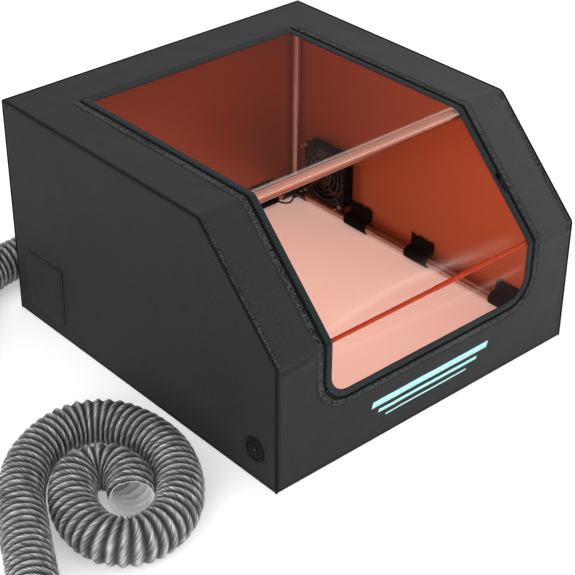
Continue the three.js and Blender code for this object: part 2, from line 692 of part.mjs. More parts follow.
// the route's points; those on the ground lie a hose's radius above it
const onGround = ([x, y]) => [x, y, HOSE_Z];
const HOSE_RUN = [
  [spigotEnd + 0.4, 250, FAN_Z],
  [444, 250, 94],
  [492, 257, 87],
  [545, 290, 72],
  [573, 345, 57],
  [566, 405, 46],
  ...[
    [526, 453], [468, 474], [380, 476], [220, 470], [40, 466], [-140, 468], [-300, 466],
    [-400, 438], [-492, 362], [-600, 258], [-720, 148], [-850, 26], [-960, -84], [-1030, -180],
    [-1050, -280], [-1008, -366], [-930, -402], [-856, -388], [-801, -348], [-774, -303],
    [-749, -253], [-725, -207], [-698, -158],
  ].map(onGround),
];
const HOSE_COIL = [
  [-664, -114], [-618, -75], [-559, -53], [-512, -54], [-473, -80], [-452, -123], [-445, -178],
  [-455, -233], [-484, -289], [-523, -330], [-569, -351], [-616, -348], [-646, -319], [-654, -280],
  [-648, -241], [-633, -207], [-611, -178], [-583, -160], [-554, -166], [-537, -188], [-535, -216],
  [-545, -242], [-560, -263],
].map(onGround);

const hoseLine = smoothLine([...HOSE_RUN, ...HOSE_COIL]);
hoseLine.arcLengthDivisions = 1200;
const coilLong = smoothLine(HOSE_COIL).getLength();
const hoseLong = hoseLine.getLength();
const coilFrom = hoseLong - coilLong;
add("hose_run", sweep(new Stretch(hoseLine, 0, coilFrom - GAP), HOSE_R, 10, 48), hoseCloth());
add("hose_coil", sweep(new Stretch(hoseLine, coilFrom, hoseLong), HOSE_R, 10, 30), hoseCloth());

// ---------- fan cord ----------
// Out of the fan frame's lower rear corner, under the rear hem, into a neat coil behind it.
const CORD_R = 1.9;
const CORD_COIL = { at: [196, 407], mid: 22, thick: 8 };
const CORD_RUN = [
  [fanBack - 10, FAN_Y + FAN / 2 + 0.4, 52],
  [fanBack - 11, 318, 50],
  [fanBack - 17, 325, 42],
  [318, 330, 29],
  [312, 331, 14],
  [306, 332, 4.5],
  [300, 333, 2.2],
  [292, 338, 2.2],
  [CABLE_NOTCH.x, 350, 2.2],
  [CABLE_NOTCH.x, 367, 2.2],
  [284, 382, 2.2],
  [274, 393, 2.2],
  [260, 398, 2.2],
  [244, 398, 2.4],
  [CORD_COIL.at[0] + 31, 398, 3],
];
add("fan_cord_run", sweep(smoothLine(CORD_RUN), CORD_R, 8, 26), cordRubber());
const [inR, outR] = [CORD_COIL.mid - CORD_COIL.thick, CORD_COIL.mid + CORD_COIL.thick];
add(
  "fan_cord_coil",
  new THREE.LatheGeometry([
    [inR, 1.5], [inR + 1.5, 0.1], [outR - 1.5, 0.1], [outR, 1.5], [outR, 11], [outR - 1.5, 12.2],
    [inR + 1.5, 12.2], [inR, 11], [inR, 1.5],
  ].map(([r, z]) => new THREE.Vector2(r, z)), 18)
    .rotateX(Math.PI / 2).translate(CORD_COIL.at[0], CORD_COIL.at[1], 0),
  cordRubber(),
);
const plugZ = 12.8;
const plugBody = join(
  extrude(roundedRectangle(-8, 8, -14, 14, 3), "z", plugZ, plugZ + 8, 4),
  box(-6, 6, 13, 32, plugZ + 1.75, plugZ + 6.25),
);
const plugMouth = box(-5.5, 5.5, 20, 33, plugZ + 2.25, plugZ + 5.75);
add(
  "usb_plug",
  cut(plugBody, plugMouth).rotateZ(Math.PI / 2 + 0.2).translate(...CORD_COIL.at, 0),
  finish(0x1a1a1c, 0.5),
);

export default part;
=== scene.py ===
import math

import bpy
import numpy as np
from mathutils import Matrix, Vector, noise


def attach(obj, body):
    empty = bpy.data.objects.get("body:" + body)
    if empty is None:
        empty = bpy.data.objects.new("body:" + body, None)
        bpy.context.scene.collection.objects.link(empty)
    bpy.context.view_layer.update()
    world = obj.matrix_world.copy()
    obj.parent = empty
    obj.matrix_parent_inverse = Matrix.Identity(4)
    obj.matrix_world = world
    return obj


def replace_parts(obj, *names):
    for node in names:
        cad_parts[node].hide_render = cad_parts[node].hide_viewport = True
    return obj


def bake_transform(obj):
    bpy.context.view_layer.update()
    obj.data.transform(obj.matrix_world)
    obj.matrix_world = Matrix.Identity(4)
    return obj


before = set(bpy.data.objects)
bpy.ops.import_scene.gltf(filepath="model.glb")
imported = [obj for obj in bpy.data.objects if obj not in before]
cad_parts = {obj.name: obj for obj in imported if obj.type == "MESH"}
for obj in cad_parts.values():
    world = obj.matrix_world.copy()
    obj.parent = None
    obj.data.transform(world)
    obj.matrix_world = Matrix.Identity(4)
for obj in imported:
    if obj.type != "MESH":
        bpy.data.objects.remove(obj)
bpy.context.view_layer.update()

# The looks of a laser engraver enclosure. Lengths are millimetres until a mesh is made.
MM = 0.001
HALF, REAR, HEIGHT = 350.0, 368.0, 434.0    # half its width, half its depth, and its height
BEND_Y, FRONT = -181.0, 244.0               # front edge of the roof, and top of the upright front
FAN_Y, FAN_Z = 250.0, 94.0                  # axis of the fan and the duct in the right wall
PORT_Y, PORT_Z, PORT_R = 276.0, 85.0, 44.0  # spare port in the left wall
GROMMET_Y, GROMMET_Z = -315.0, 60.0         # cable grommet in the left wall


# ---------- camera ----------
def make_camera():
    """The photograph's viewing angle, distance and lens."""
    azimuth, elevation, roll = (math.radians(a) for a in (-41.78, 32.45, 0.431))
    aim, distance = Vector((-0.002, -0.002, 0.075)), 2.954
    back = Vector((math.sin(azimuth) * math.cos(elevation),
                   -math.cos(azimuth) * math.cos(elevation), math.sin(elevation)))
    data = bpy.data.cameras.new("camera")
    data.sensor_width = 36.0
    data.lens = 99.34
    camera = bpy.data.objects.new("camera", data)
    bpy.context.scene.collection.objects.link(camera)
    turned = (-back).to_track_quat("-Z", "Y").to_matrix() @ Matrix.Rotation(roll, 3, "Z")
    camera.matrix_world = Matrix.Translation(aim + back * distance) @ turned.to_4x4()
    bpy.context.scene.camera = camera


make_camera()


# ---------- meshes ----------
def piece(name, points, faces, materials, body="enclosure", slot="cover_fabric", marks=None,
          face_slots=None):
    """A mesh of millimetre points that rides on a body. marks are float attributes per point."""
    mesh = bpy.data.meshes.new(name)
    mesh.from_pydata((np.asarray(points, float) * MM).tolist(), [],
                     [list(map(int, f)) for f in faces])
    for key, values in (marks or {}).items():
        mesh.attributes.new(key, "FLOAT", "POINT").data.foreach_set(
            "value", np.asarray(values, np.float32))
    for m in materials:
        mesh.materials.append(m)
    if face_slots is not None:
        mesh.polygons.foreach_set("material_index", np.asarray(face_slots, np.int32))
    mesh.polygons.foreach_set("use_smooth", [True] * len(mesh.polygons))
    mesh.update()
    made = bpy.data.objects.new(name, mesh)
    bpy.context.scene.collection.objects.link(made)
    if body:
        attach(made, body)
    return made


def facing_out(points, faces):
    """The faces of a closed shape, turned round if they point inwards."""
    volume = 0.0
    for size in {len(f) for f in faces}:
        f = np.array([f for f in faces if len(f) == size])
        for i in range(1, size - 1):
            volume += (points[f[:, 0]] * np.cross(points[f[:, i]], points[f[:, i + 1]])).sum()
    return faces if volume > 0 else [list(f)[::-1] for f in faces]


def solid(name, rings, faces, finish, body="enclosure", slot="cover_fabric", marks=None):
    """A piece that is a closed shape, from rings of points."""
    points = np.vstack(rings)
    return piece(name, points, facing_out(points, faces), [finish], body, slot, marks)


def thicken(made, thickness, offset=-1, lined=False):
    """Real thickness, inwards from the outer face, with the lining on the inner face if lined."""
    shell = made.modifiers.new("thickness", "SOLIDIFY")
    shell.thickness = thickness * MM
    shell.offset = offset
    shell.material_offset = int(lined)
    return made


def grid_faces(rows, columns, wrap=False, base=0, flip=False):
    """Quads of a grid of rows x columns points, with the columns closed into a loop if wrap."""
    faces = []
    for i in range(rows - 1):
        for j in range(columns if wrap else columns - 1):
            k = (j + 1) % columns
            quad = [base + i * columns + j, base + i * columns + k,
                    base + (i + 1) * columns + k, base + (i + 1) * columns + j]
            faces.append(quad[::-1] if flip else quad)
    return faces


def tube_faces(rings, sides, base=0):
    """Faces of a tube with both ends capped."""
    last = base + (rings - 1) * sides
    return [*grid_faces(rings, sides, wrap=True, base=base),
            [base + j for j in range(sides)][::-1], [last + j for j in range(sides)]]


def loop_faces(rings, sides, base=0):
    """Faces of a tube whose last ring joins its first."""
    last = base + (rings - 1) * sides
    return [*grid_faces(rings, sides, wrap=True, base=base),
            *([last + j, last + (j + 1) % sides, base + (j + 1) % sides, base + j]
              for j in range(sides))]


def catmull(points, per=16):
    """Points on the smooth line through the given ones."""
    p = np.asarray(points, float)
    p = np.vstack([2 * p[0] - p[1], p, 2 * p[-1] - p[-2]])
    t = np.linspace(0, 1, per, endpoint=False)[:, None]
    parts = []
    for a, b, c, d in zip(p[:-3], p[1:-2], p[2:-1], p[3:]):
        parts.append(b + 0.5 * t * (c - a) + t ** 2 * (a - 2.5 * b + 2 * c - 0.5 * d)
                     + t ** 3 * (1.5 * (b - c) + 0.5 * (d - a)))
    return np.vstack([*parts, p[-2]])


def along(points):
    """How far along a line each of its points lies."""
    steps = np.linalg.norm(np.diff(points, axis=0), axis=1)
    return np.concatenate([[0], np.cumsum(steps)])


def resample(points, step):
    """The same line with evenly spaced points, and how far along it each lies."""
    s = along(points)
    places = np.linspace(0, s[-1], max(2, int(round(s[-1] / step)) + 1))
    return np.stack([np.interp(places, s, points[:, i]) for i in range(3)], 1), places


def frames(points):
    """Two directions across a line at each of its points, carried along it without twist."""
    tangents = np.gradient(points, axis=0)
    tangents /= np.linalg.norm(tangents, axis=1)[:, None]
    start = np.array([0.0, 0, 1]) if abs(tangents[0][2]) < 0.9 else np.array([1.0, 0, 0])
    across = [start - tangents[0] * (start @ tangents[0])]
    for t in tangents[1:]:
        a = across[-1] - t * (across[-1] @ t)
        across.append(a)
    across = np.array([a / np.linalg.norm(a) for a in across])
    return across, np.cross(tangents, across)


def round_of(sides):
    """Evenly spaced angles, once round."""
    return np.linspace(0, 2 * np.pi, sides, endpoint=False)


def tube_rings(points, radii, sides):
    """Rings of points round a line. radii is a number, or one per point and side."""
    a, b = frames(points)
    theta = round_of(sides)
    r = np.broadcast_to(np.asarray(radii, float), (len(points), sides))
    return points[:, None] + r[..., None] * (
        np.cos(theta)[None, :, None] * a[:, None] + np.sin(theta)[None, :, None] * b[:, None])


def tube(name, points, radius, finish, body="enclosure", slot="cover_fabric", sides=8):
    """A closed tube along a line."""
    points = np.asarray(points, float)
    return solid(name, tube_rings(points, radius, sides), tube_faces(len(points), sides),
                 finish, body, slot)


# ---------- materials ----------
def material(name, colour, roughness, metallic=0.0, **sockets):
    """A plain material. sockets are further inputs of its shader, with _ for a space."""
    m = bpy.data.materials.new(name)
    m.use_nodes = True
    shader = m.node_tree.nodes["Principled BSDF"]
    shader.inputs["Base Color"].default_value = (*colour, 1)
    shader.inputs["Roughness"].default_value = roughness
    shader.inputs["Metallic"].default_value = metallic
    for key, value in sockets.items():
        shader.inputs[key.replace("_", " ")].default_value = value
    return m


def node_of(m, kind, **sockets):
    """A new node, with its inputs set by name (_ for a space) to a value or a socket."""
    node = m.node_tree.nodes.new("ShaderNode" + kind)
    for key, value in sockets.items():
        link_or_set(m, node.inputs[key.replace("_", " ")], value)
    return node


def link_or_set(m, socket, value):
    if isinstance(value, bpy.types.NodeSocket):
        m.node_tree.links.new(value, socket)
    else:
        socket.default_value = value


def noise_of(m, scale, detail=2.0, rough=0.5, vector=None):
    """Noise in the object's space, or along the given vector."""
    if vector is None:
        vector = node_of(m, "TexCoord").outputs["Object"]
    return node_of(m, "TexNoise", Scale=scale, Detail=detail, Roughness=rough,
                   Vector=vector).outputs["Fac"]


def ramp(m, value, *stops):
    """A colour from a number by (place, colour) stops."""
    r = node_of(m, "ValToRGB", Fac=value)
    while len(r.color_ramp.elements) < len(stops):
        r.color_ramp.elements.new(0.5)
    for element, (place, colour) in zip(r.color_ramp.elements, stops):
        element.position = place
        element.color = (*colour, 1)
    return r.outputs["Color"]


def ranged(m, value, low, high, to_low, to_high):
    """A number moved from one range to another."""
    return node_of(m, "MapRange", Value=value, From_Min=low, From_Max=high, To_Min=to_low,
                   To_Max=to_high).outputs["Result"]


def math_of(m, operation, *values):
    n = node_of(m, "Math")
    n.operation = operation
    for socket, value in zip(n.inputs, values):
        link_or_set(m, socket, value)
    return n.outputs[0]


def attribute(m, name):
    n = node_of(m, "Attribute")
    n.attribute_name = name
    return n.outputs["Fac"]


def drive(m, socket, value):
    link_or_set(m, m.node_tree.nodes["Principled BSDF"].inputs[socket], value)


def bump(m, height, distance, strength=1.0):
    drive(m, "Normal", node_of(m, "Bump", Distance=distance, Strength=strength,
                               Height=height).outputs["Normal"])


def rubber_material(name, colour, roughness, grain=600, **sockets):
    """Moulded rubber or plastic: a fine grain and faint patches of gloss."""
    m = material(name, colour, roughness, **sockets)
    drive(m, "Roughness", ranged(m, noise_of(m, grain * 0.2), 0.3, 0.7, roughness - 0.06,
                                 roughness + 0.08))
    bump(m, noise_of(m, grain, 3), 0.0001, 0.3)
    return m


def cloth_material(name, dark, light, grain, depth, sheen=0.03, spread=0.2):
    """Coated woven cloth: a fine grain, faint blotches and a little sheen."""
    m = material(name, dark, 0.72, Sheen_Weight=sheen, Sheen_Roughness=0.5,
                 Specular_IOR_Level=0.11)
    fine = noise_of(m, grain, 2.5, 0.65)
    broad = noise_of(m, 7, 3)
    mixed = math_of(m, "ADD", math_of(m, "MULTIPLY", fine, 0.75),
                    math_of(m, "MULTIPLY", broad, 0.25))
    drive(m, "Base Color", ramp(m, mixed, (0.5 - spread, dark), (0.5 + spread, light)))
    drive(m, "Roughness", ranged(m, broad, 0.3, 0.7, 0.66, 0.8))
    bump(m, fine, depth)
    return m


def metal(name, colour, roughness, grain, depth=0.00003):
    """Drawn or plated metal: faint scuffs in its gloss and colour."""
    m = material(name, colour, roughness, 0.95)
    fine = noise_of(m, grain, 3, 0.6)
    drive(m, "Roughness", ranged(m, fine, 0.3, 0.7, roughness - 0.07, roughness + 0.1))
    drive(m, "Base Color", ramp(m, noise_of(m, grain * 0.2, 3),
                                (0.3, tuple(c * 0.86 for c in colour)), (0.7, colour)))
    bump(m, fine, depth, 0.12)
    return m


def hose_material():
    """Silver-grey cloth over ribs: painted shade in its dips, painted highlights on its crests and
    along the slanting puckers across each rib.
    """
    m = material("hose_cloth", (0.2, 0.2, 0.21), 0.55, Sheen_Weight=0.1, Specular_IOR_Level=0.35)

    def times(*values):
        return math_of(m, "MULTIPLY", *values)

    run = attribute(m, "run")
    theta = math_of(m, "ARCTAN2", attribute(m, "side_sin"), attribute(m, "side_cos"))
    turn = math_of(m, "ADD", math_of(m, "DIVIDE", run, HOSE_PITCH),
                   math_of(m, "DIVIDE", theta, 2 * math.pi))
    # Painted highlight on the crests and painted shade in the dips.
    crest = ranged(m, math_of(m, "COSINE", times(turn, 2 * math.pi)), -1.0, 1.0, 0.0, 1.0)
    skew = math_of(m, "ADD", theta, times(run, 2 * math.pi / HOSE_PITCH / PUCKER_RIBS))
    vector = node_of(m, "CombineXYZ", X=times(math_of(m, "COSINE", skew), 15.0),
                     Y=times(math_of(m, "SINE", skew), 15.0), Z=times(run, 0.075))
    strokes = noise_of(m, 1.0, 3.0, 0.62, vector.outputs[0])
    # Painted highlights along the puckers' strokes.
    pucker_highlight = ranged(m, strokes, 0.36, 0.64, 0.0, 1.0)
    light = math_of(m, "ADD", times(math_of(m, "POWER", crest, 0.7), 0.4),
                    times(pucker_highlight, math_of(m, "ADD", times(crest, 0.34), 0.28)))
    drive(m, "Base Color", ramp(m, light, (0.1, (0.005, 0.0055, 0.006)),
                                (0.36, (0.04, 0.041, 0.045)), (0.64, (0.17, 0.172, 0.18)),
                                (0.95, (0.62, 0.625, 0.635))))
    drive(m, "Roughness", ranged(m, strokes, 0.3, 0.7, 0.46, 0.66))
    bump(m, strokes, 0.0018, 0.8)
    return m


def lining_material():
    """The cover's satin silver lining, painted bronze for the film's warm light reflected in it.
    """
    m = material("lining_painted_warm_reflection", (0.38, 0.106, 0.042), 0.36, 0.4, Specular_IOR_Level=0.12)
    drive(m, "Roughness", ranged(m, noise_of(m, 30, 3), 0.3, 0.7, 0.28, 0.42))
    bump(m, noise_of(m, 12, 3), 0.0015, 0.3)
    return m


def film_material():
    """Thin tinted film: lamps and looks pass through it, tinted, under a gloss."""
    m = material("window_film", (1.0, 0.86, 0.8), 0.13, 0.65)
    clear = node_of(m, "BsdfTransparent", Color=(0.94, 0.757, 0.7, 1))
    facing = node_of(m, "LayerWeight", Blend=0.5).outputs["Facing"]
    gloss = math_of(m, "MULTIPLY", math_of(m, "POWER", facing, 3.0), 0.06)
    # haze whitens the film at its creases, partly real haze and partly painted highlight, and
    # paints highlights where it bends over the cross tube
    haze_and_highlight = math_of(m, "MULTIPLY", attribute(m, "haze_and_highlight"), 0.1)
    mix = node_of(m, "MixShader", Fac=math_of(m, "ADD", gloss, haze_and_highlight))
    nodes, links = m.node_tree.nodes, m.node_tree.links
    links.new(clear.outputs[0], mix.inputs[1])
    links.new(nodes["Principled BSDF"].outputs[0], mix.inputs[2])
    links.new(mix.outputs[0], nodes["Material Output"].inputs["Surface"])
    return m


def strap_material():
    """Black hook-and-loop cloth."""
    m = material("hook_and_loop", (0.004, 0.004, 0.0045), 0.95, Sheen_Weight=0.015,
                 Specular_IOR_Level=0.12)
    loops = noise_of(m, 1500, 4, 0.7)
    drive(m, "Base Color", ramp(m, loops, (0.35, (0.0015, 0.0015, 0.0015)),
                                (0.7, (0.007, 0.007, 0.0075))))
    bump(m, loops, 0.0008)
    return m


def rod_material():
    """Orange-red satin plastic."""
    m = material("fold_rod", (0.43, 0.057, 0.006), 0.34)
    drive(m, "Base Color", ramp(m, noise_of(m, 60, 2), (0.3, (0.38, 0.046, 0.004)),
                                (0.7, (0.48, 0.068, 0.007))))
    drive(m, "Roughness", ranged(m, noise_of(m, 150), 0.3, 0.7, 0.24, 0.4))
    bump(m, noise_of(m, 400), 0.00005, 0.3)
    return m


HOSE_R, HOSE_PITCH = 40.0, 14.6
PUCKER_RIBS = 7.5   # how many ribs a pucker takes to wind once round the hose
HOSE_CLOTH = hose_material()
HOSE_INSIDE = rubber_material("hose_inside", (0.9, 0.9, 0.91), 0.5)
CORD = rubber_material("cord_rubber", (0.012, 0.012, 0.013), 0.42)
COVER = cloth_material("cover_fabric", (0.0098, 0.0098, 0.0102), (0.018, 0.018, 0.0185), 420,
                       0.0005)
BINDING = cloth_material("bound_edge", (0.014, 0.014, 0.015), (0.03, 0.03, 0.031), 700, 0.0004)
TAPE = cloth_material("zip_tape", (0.003, 0.0032, 0.0034), (0.066, 0.068, 0.071), 330, 0.0008,
                      0.0, 0.09)
BAND = cloth_material("door_band", (0.006, 0.009, 0.0105), (0.023, 0.032, 0.035), 480, 0.0003)
PIPING = cloth_material("piping", (0.0015, 0.0015, 0.0016), (0.005, 0.005, 0.0052), 700, 0.0003,
                        0.0)
THREAD = material("thread", (0.05, 0.05, 0.052), 0.7)
LINING = lining_material()
ZIP_COIL = rubber_material("zip_coil", (0.0022, 0.0022, 0.0024), 0.6, 900,
                           Specular_IOR_Level=0.08)
FILM = film_material()
STRAP = strap_material()
PLASTIC = rubber_material("moulded_plastic", (0.003, 0.003, 0.0033), 0.55, 420,
                          Specular_IOR_Level=0.1)
GROMMET_RUBBER = rubber_material("grommet_rubber", (0.003, 0.003, 0.0033), 0.6, 500,
                                 Specular_IOR_Level=0.1)

# ---------- exhaust hose ----------
CUFF_FROM = 363.9   # where the hose starts, on the duct flange's spigot
# The hose's way along the ground, behind the enclosure and round to its left, then its spiral.
GROUND_RUN = [
    (526, 453), (468, 474), (380, 476), (220, 470), (40, 466), (-140, 468), (-300, 466),
    (-400, 438), (-492, 362), (-600, 258), (-720, 148), (-850, 26), (-960, -84), (-1030, -180),
    (-1050, -280), (-1008, -366), (-930, -402), (-856, -388), (-801, -348), (-774, -303),
    (-749, -253), (-725, -207), (-698, -158),
]
SPIRAL = [
    (-664, -114), (-618, -75), (-559, -53), (-512, -54), (-473, -80), (-452, -123), (-445, -178),
    (-455, -233), (-484, -289), (-523, -330), (-569, -351), (-616, -348), (-646, -319),
    (-654, -280), (-648, -241), (-633, -207), (-611, -178), (-583, -160), (-554, -166),
    (-537, -188), (-535, -216), (-545, -242), (-560, -263),
]
HOSE_RUN = [
    (403.8, 250, 94), (444, 250, 94), (492, 257, 87), (545, 290, 72), (573, 345, 57),
    (566, 405, 46), *((x, y, HOSE_R + 1) for x, y in GROUND_RUN + SPIRAL),
]


def make_hose():
    """Cloth over a wire helix: pointed ribs at the wire, puckered between, open at both ends."""
    sides, ribs_deep, pucker_deep = 38, 6.4, 2.2
    spigot_rings, bore_rings = 24, 90   # how many rings of the bore are drawn at each end
    line = np.vstack([[(CUFF_FROM, FAN_Y, FAN_Z)], catmull(HOSE_RUN)])
    line, s = resample(line, 1.62)
    theta = round_of(sides)
    turn = s[:, None] / HOSE_PITCH + theta[None] / (2 * np.pi)
    crest = 1 - 2 * np.abs(turn - np.round(turn))
    crest = np.where(crest > 0.86, 0.86 + (crest - 0.86) * 0.35, crest) / 0.91
    skew = theta[None] + s[:, None] * 2 * np.pi / HOSE_PITCH / PUCKER_RIBS
    pucker = np.array([[noise.noise(Vector((math.cos(t) * 6.5, math.sin(t) * 6.5, a * 0.07)))
                        for t in row] for a, row in zip(s, skew)])
    uneven = np.array([noise.noise(Vector((a * 0.012, 7, 2))) for a in s])[:, None]
    r = (HOSE_R - 0.4 - ribs_deep * (1 - crest) * (1 + 0.25 * uneven)
         + pucker_deep * pucker * (1 - 0.55 * crest))
    r = np.minimum(r, HOSE_R)
    on_spigot = np.maximum(r * 0.2 + HOSE_R * 0.8 + 0.2, 39.2)
    past_spigot = np.clip((s - 38) / 14, 0, 1)[:, None]
    r = past_spigot * r + (1 - past_spigot) * on_spigot
    far_bore = tube_rings(line, np.minimum(r - 1.2, 36.5), sides)[-bore_rings:][::-1]
    near_bore = tube_rings(line, 38.6, sides)[:spigot_rings][::-1]
    rings = np.concatenate([near_bore, tube_rings(line, r, sides), far_bore])
    faces = tube_faces(len(rings), sides)
    places = np.concatenate([s[:spigot_rings][::-1], s, s[-bore_rings:][::-1]])
    marks = {"run": np.repeat(places, sides), "side_sin": np.tile(np.sin(theta), len(rings)),
             "side_cos": np.tile(np.cos(theta), len(rings))}
    cloth_from = spigot_rings * sides
    cloth_to = (spigot_rings + len(line) - 1) * sides
    slots = [0 if cloth_from <= f[0] < cloth_to else 1 for f in faces]
    hose = piece("hose", np.vstack(rings), faces, [HOSE_CLOTH, HOSE_INSIDE], slot="hose_cloth",
                 marks=marks, face_slots=slots)
    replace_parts(hose, "hose_cuff", "hose_run", "hose_coil")


make_hose()

# ---------- fan cord ----------
CORD_R = 1.9
CORD_RUN = [
    (337.6, 310.4, 52), (336.6, 318, 50), (330.6, 325, 42), (318, 330, 29), (312, 331, 14),
    (306, 332, 4.5), (300, 333, 2.2), (292, 338, 2.2), (287, 350, 2.2), (287, 367, 2.2),
    (284, 382, 2.2), (274, 393, 2.2), (260, 398, 2.2), (244, 396.5, 2.2), (229, 392, 2.2),
    (214, 385.5, 2.2),
]
CORD_END = [(214, 428.5, 10.6), (227, 422, 13.4), (229.5, 414, 15.6), (222, 411.8, 16.7),
            (210.6, 410, 16.8)]
CORD_GATE_X = 287.0   # where it passes under the rear hem


def coil_turns():
    """Points of a coil wound inwards, outwards, and part of the way in again, layer on layer."""
    middle, step = np.array([196.0, 407.0]), math.radians(20)
    outer, inner, spacing, layer_high = 26.4, 15.5, 3.85, 3.4
    angle, radius, height, inwards, layer = math.radians(-85), 26.5, 2.2, True, 0
    turns = []
    while layer < 3:
        turns.append((*(middle + radius * np.array([math.cos(angle), math.sin(angle)])), height))
        angle -= step
        radius += (-1 if inwards else 1) * spacing * step / (2 * math.pi)
        height += (2.2 + layer_high * layer - height) * 0.35
        if (inwards and radius < inner) or (not inwards and radius > outer):
            layer += 1
            inwards = not inwards
        if layer == 2 and radius < 24.6 and 90 < math.degrees(angle) % 360 < 115:
            break
    return turns


def make_cord():
    """Out of the fan, under the rear hem and into its coil, with the plug on top."""
    line, s = resample(catmull([*CORD_RUN, *coil_turns(), *CORD_END], 10), 1.6)
    cord = tube("fan_cord", line, CORD_R, CORD, slot="cord_rubber", sides=10)
    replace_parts(cord, "fan_cord_run", "fan_cord_coil")


make_cord()


# ---------- cover: the side profile ----------
class Profile:
    """The line from the rear roof edge over roof, slope and front, with rounded bends."""

    def __init__(self):
        corners = [(REAR, HEIGHT), (BEND_Y, HEIGHT), (-REAR, FRONT), (-REAR, 0)]
        steps = 8   # in each rounded bend
        points = [corners[0]]
        for i, radius in ((1, 15.0), (2, 11.0)):
            a, b, c = (np.array(corners[k]) for k in (i - 1, i, i + 1))
            u, v = (b - a) / np.linalg.norm(b - a), (c - b) / np.linalg.norm(c - b)
            turn = math.acos(u @ v)
            back = radius * math.tan(turn / 2)
            inwards = np.array([-u[1], u[0]])
            centre = b - u * back + inwards * radius
            for k in range(steps + 1):
                t = turn * k / steps
                points.append(centre - inwards * radius * math.cos(t) + u * radius * math.sin(t))
        points.append(corners[3])
        self.line = np.array(points, float)
        self.s = along(self.line)
        self.long = self.s[-1]
        self.bend_1 = (self.s[1] + self.s[steps + 1]) / 2
        self.bend_2 = (self.s[steps + 2] + self.s[2 * steps + 2]) / 2

    def at(self, s):
        """(y, z) and the outward (y, z) direction there."""
        s = np.asarray(s, float)
        place = [np.interp(s, self.s, self.line[:, i]) for i in (0, 1)]
        ahead, behind = np.clip(s + 0.8, 0, self.long), np.clip(s - 0.8, 0, self.long)
        d = [np.interp(ahead, self.s, self.line[:, i]) - np.interp(behind, self.s, self.line[:, i])
             for i in (0, 1)]
        size = np.hypot(*d)
        return place[0], place[1], d[1] / size, -d[0] / size

    def point(self, x, s, out=0.0):
        """Points on the cover at x and s, standing out from it."""
        y, z, ny, nz = self.at(s)
        x = np.broadcast_to(x, np.shape(y))
        return np.stack([x, y + ny * out, z + nz * out], -1)

    def s_of_z(self, z):
        """Where the upright front is this high."""
        return self.long - z


PROFILE = Profile()
# The window's opening: half its width, its ends along the profile, and its low corners' radius.
OPEN_X, OPEN_FROM, OPEN_TO, OPEN_CORNER = 249.0, 94.0, PROFILE.s_of_z(122.0), 56.0


def lumps(points, size, seed):
    """Smooth noise between -1 and 1 at each point."""
    return np.array([noise.noise(Vector(p) / size + Vector((seed, 0, 0))) for p in points])


def ticks(low, high, step, *kept):
    """Evenly spaced numbers from low to high that also hit the kept ones."""
    stops = sorted({low, high, *kept})
    found = [low]
    for a, b in zip(stops, stops[1:]):
        count = max(1, round((b - a) / step))
        found += [a + (b - a) * (i + 1) / count for i in range(count)]
    return np.array(found)


def holed(flat, faces, inside, snap):
    """Leaves out the faces whose middle is in a hole, and moves the hole's rim to its outline."""
    gone = np.array([inside(c) for c in flat[np.asarray(faces)].mean(1)])
    kept = [f for f, g in zip(faces, gone) if not g]
    rim = {i for f, g in zip(faces, gone) if g for i in f} & {i for f in kept for i in f}
    for i in rim:
        flat[i] = snap(flat[i])
    used = sorted({i for f in kept for i in f})
    order = {old: new for new, old in enumerate(used)}
    return flat[used], [[order[i] for i in f] for f in kept]


# ---------- cover: walls ----------
CLOTH_THICK, GRID = 1.6, 8.5   # thickness of the lined cloth, and the size of its mesh's squares
EDGE_FADE = 30                 # how far from a held edge the cloth's waves reach their full size


def cover_piece(name, points, faces):
    """One lined sheet of the cover."""
    return thicken(piece(name, points, faces, [COVER, LINING]), CLOTH_THICK, lined=True)


def top_of(y):
    """How high the side wall is at y."""
    if y >= BEND_Y:
        return HEIGHT
    return FRONT + (HEIGHT - FRONT) * (y + REAR) / (BEND_Y + REAR)


def wall_waves(across, up, seed):
    """How far a wall stands in or out: a slack middle and a few soft folds."""
    pts = np.stack([across, up, np.zeros_like(up)], 1)
    slack = -2.6 * np.sin(np.pi * np.clip((across + REAR) / (2 * REAR), 0, 1)) * np.sin(
        np.pi * np.clip(up / 420, 0, 1))
    return slack + 1.1 * lumps(pts, 150, seed) + 0.5 * lumps(pts * (1, 0.45, 1), 48, seed + 5)


def side_wall(name, side, holes):
    ys, rows = ticks(-REAR + 0.6, REAR - 0.6, GRID, BEND_Y), 48
    flat = np.array([(y, top_of(y) * k / rows) for k in range(rows + 1) for y in ys])
    faces = grid_faces(rows + 1, len(ys), flip=side < 0)
    for *centre, radius in holes:
        flat, faces = holed(
            flat, faces, lambda c: np.linalg.norm(c - centre) < radius,
            lambda p: centre + (p - centre) * radius / np.linalg.norm(p - centre))
    edge = np.minimum(REAR - np.abs(flat[:, 0]), flat[:, 1]) / EDGE_FADE
    tops = np.array([top_of(y) for y in flat[:, 0]])
    edge = np.minimum(edge, (tops - flat[:, 1]) / EDGE_FADE)
    for *centre, radius in holes:
        away = np.linalg.norm(flat - centre, axis=1) - radius - 12
        edge = np.minimum(edge, away / EDGE_FADE)
    out = wall_waves(flat[:, 0], flat[:, 1], 3 + side) * np.clip(edge, 0, 1) ** 0.7
    points = np.column_stack([side * (HALF + out), flat])
    return cover_piece(name, points, faces)


def hem_lift(x):
    """How far the rear hem is raised where the fan cord passes under it."""
    return 7.0 * np.clip(1 - np.abs(x - CORD_GATE_X) / 12, 0, 1)


